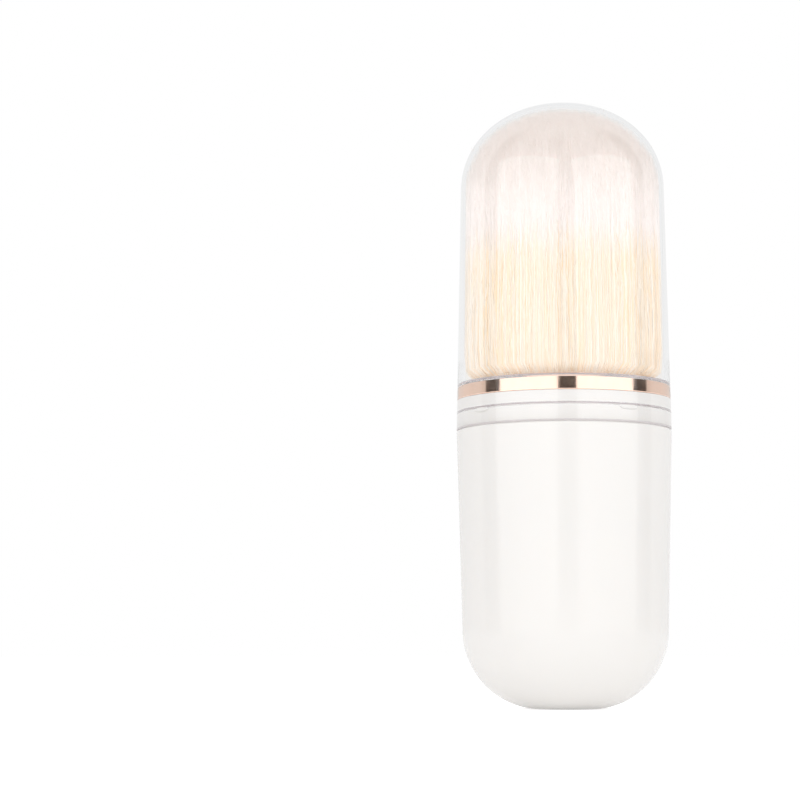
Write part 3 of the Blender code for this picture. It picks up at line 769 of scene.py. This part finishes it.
# The lamps' light passes straight in, and rays that the wall would keep turning inside it are let out. The
# dome lets them out after fewer turns than the collar. Rays let out pass a grey tint: painted shade along
# the cap's edges.
ray = tree.nodes.new("ShaderNodeLightPath")
lamp_light = add_value(tree, "MAXIMUM", ray.outputs["Is Shadow Ray"], ray.outputs["Is Diffuse Ray"])
dome = add_value(tree, "GREATER_THAN", level.outputs["Z"], DOME_LEVEL)
fewer = add_value(tree, "MULTIPLY", dome, COLLAR_TURNS - DOME_TURNS)
most_turns = add_value(tree, "SUBTRACT", COLLAR_TURNS, fewer)
trapped = add_value(tree, "GREATER_THAN", ray.outputs["Ray Depth"], most_turns)
see_through = tree.nodes.new("ShaderNodeBsdfTransparent")
tree.links.new(add_mix(tree, trapped, CLEAR, TRAPPED_EDGE_SHADE), see_through.inputs["Color"])
either = tree.nodes.new("ShaderNodeMixShader")
tree.links.new(add_value(tree, "MAXIMUM", lamp_light, trapped), either.inputs[0])
tree.links.new(shader.outputs[0], either.inputs[1])
tree.links.new(see_through.outputs[0], either.inputs[2])
tree.links.new(either.outputs[0], tree.nodes["Material Output"].inputs["Surface"])
cap.data.materials.append(clear)
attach(cap, "cap")
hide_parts("clear_cap")


# Studio
# A white floor and background, a wide soft lamp on either side of the camera, and dark boards between and
# beside them that draw the edges of clear and polished pieces.
FLOOR_SIZE = 8
FLOOR_WHITE = (0.88, 0.88, 0.88, 1)
FLOOR_GLOW_SEEN = 0.55
FLOOR_GLOW_MIRRORED = 0.34
FLOOR_GLOW_SPREAD = 0.2

bpy.ops.object.select_all(action="DESELECT")
bpy.ops.mesh.primitive_plane_add(size=FLOOR_SIZE, location=(0, 0, 0))
floor = bpy.context.object
floor.name = "studio_floor"
floor_finish = bpy.data.materials.new("floor_paper")
floor_finish.use_nodes = True
tree = floor_finish.node_tree
shader = tree.nodes["Principled BSDF"]
shader.inputs["Base Color"].default_value = FLOOR_WHITE
shader.inputs["Roughness"].default_value = 0.9
shader.inputs["Specular IOR Level"].default_value = 0
ray = tree.nodes.new("ShaderNodeLightPath")
seen = add_value(tree, "MAXIMUM", ray.outputs["Is Camera Ray"], ray.outputs["Is Transmission Ray"])
seen = add_value(tree, "MULTIPLY", seen, FLOOR_GLOW_SEEN)
mirrored = add_value(tree, "MULTIPLY", ray.outputs["Is Glossy Ray"], FLOOR_GLOW_MIRRORED)
spread = add_value(tree, "MULTIPLY", ray.outputs["Is Diffuse Ray"], FLOOR_GLOW_SPREAD)
glow = tree.nodes.new("ShaderNodeEmission")
glow_strength = add_value(tree, "ADD", add_value(tree, "MAXIMUM", seen, mirrored), spread)
tree.links.new(glow_strength, glow.inputs["Strength"])
both = tree.nodes.new("ShaderNodeAddShader")
tree.links.new(shader.outputs[0], both.inputs[0])
tree.links.new(glow.outputs[0], both.inputs[1])
tree.links.new(both.outputs[0], tree.nodes["Material Output"].inputs["Surface"])
floor.data.materials.append(floor_finish)

LAMP_DISTANCE = 0.8
LAMP_WIDTH = 1.14
LAMP_HEIGHT = 0.56
LAMP_POWER = 2.2
LAMP_AZIMUTH = math.radians(45.5)
LAMP_TILT = math.radians(16)
LAMP_AIM_HEIGHT = 0.05
for side in (-1, 1):
    lamp_data = bpy.data.lights.new("soft_lamp", "AREA")
    lamp_data.shape = "RECTANGLE"
    lamp_data.size = LAMP_WIDTH
    lamp_data.size_y = LAMP_HEIGHT
    lamp_data.energy = LAMP_POWER
    lamp = bpy.data.objects.new("soft_lamp", lamp_data)
    azimuth = LAMP_AZIMUTH * side
    lamp.location = (
        LAMP_DISTANCE * math.sin(azimuth) * math.cos(LAMP_TILT),
        -LAMP_DISTANCE * math.cos(azimuth) * math.cos(LAMP_TILT),
        LAMP_AIM_HEIGHT + LAMP_DISTANCE * math.sin(LAMP_TILT),
    )
    lamp.rotation_euler = (math.pi / 2 - LAMP_TILT, 0, azimuth)
    lamp.visible_camera = False
    bpy.context.scene.collection.objects.link(lamp)

# The room as polished and clear pieces show it, by direction from the camera's side (0) to behind the
# brush (1): dark boards in front and at the sides, pale walls between them, and a pale ceiling. Cameras see
# plain white.
ROOM_LIGHT = (0.66, 0.66, 0.665)
CEILING = (0.8, 0.8, 0.8)
CEILING_START = 0.35
CEILING_END = 0.6
FRONT_BOARD = (0.06, 0.055, 0.05, 1)
BACK_WALL = (0.9, 0.9, 0.9, 1)
ROOM_STOPS = ((0.006, 0.06), (0.012, 0.5), (0.41, 0.5), (0.425, 0.08), (0.6, 0.08), (0.62, 0.8))

world = bpy.data.worlds.new("studio")
bpy.context.scene.world = world
world.use_nodes = True
tree = world.node_tree
direction = tree.nodes.new("ShaderNodeTexCoord")
parts = tree.nodes.new("ShaderNodeSeparateXYZ")
tree.links.new(direction.outputs["Generated"], parts.inputs[0])
flat_x = add_value(tree, "MULTIPLY", parts.outputs["X"], parts.outputs["X"])
flat_y = add_value(tree, "MULTIPLY", parts.outputs["Y"], parts.outputs["Y"])
flat = add_value(tree, "SQRT", add_value(tree, "ADD", flat_x, flat_y), 0)
toward = add_value(tree, "DIVIDE", parts.outputs["Y"], add_value(tree, "MAXIMUM", flat, 1e-4))
behind = add_value(tree, "MULTIPLY", add_value(tree, "ADD", toward, 1), 0.5)
room = tree.nodes.new("ShaderNodeValToRGB")
room.color_ramp.elements[0].position = 0.0
room.color_ramp.elements[0].color = FRONT_BOARD
room.color_ramp.elements[1].position = 1.0
room.color_ramp.elements[1].color = BACK_WALL
for position, grey in ROOM_STOPS:
    stop = room.color_ramp.elements.new(position)
    stop.color = (grey, grey, grey, 1)
tree.links.new(behind, room.inputs["Fac"])
ray = tree.nodes.new("ShaderNodeLightPath")
overhead = add_span(tree, flat, 1, 0, CEILING_START, CEILING_END)
boards = add_mix(tree, overhead, room.outputs["Color"], CEILING)
shown = add_mix(tree, ray.outputs["Is Glossy Ray"], ROOM_LIGHT, boards)
shown = add_mix(tree, ray.outputs["Is Transmission Ray"], shown, boards)
shown = add_mix(tree, ray.outputs["Is Camera Ray"], shown, (1.0, 1.0, 1.0))
tree.links.new(shown, tree.nodes["Background"].inputs["Color"])

view = bpy.context.scene.view_settings
view.view_transform = "Standard"
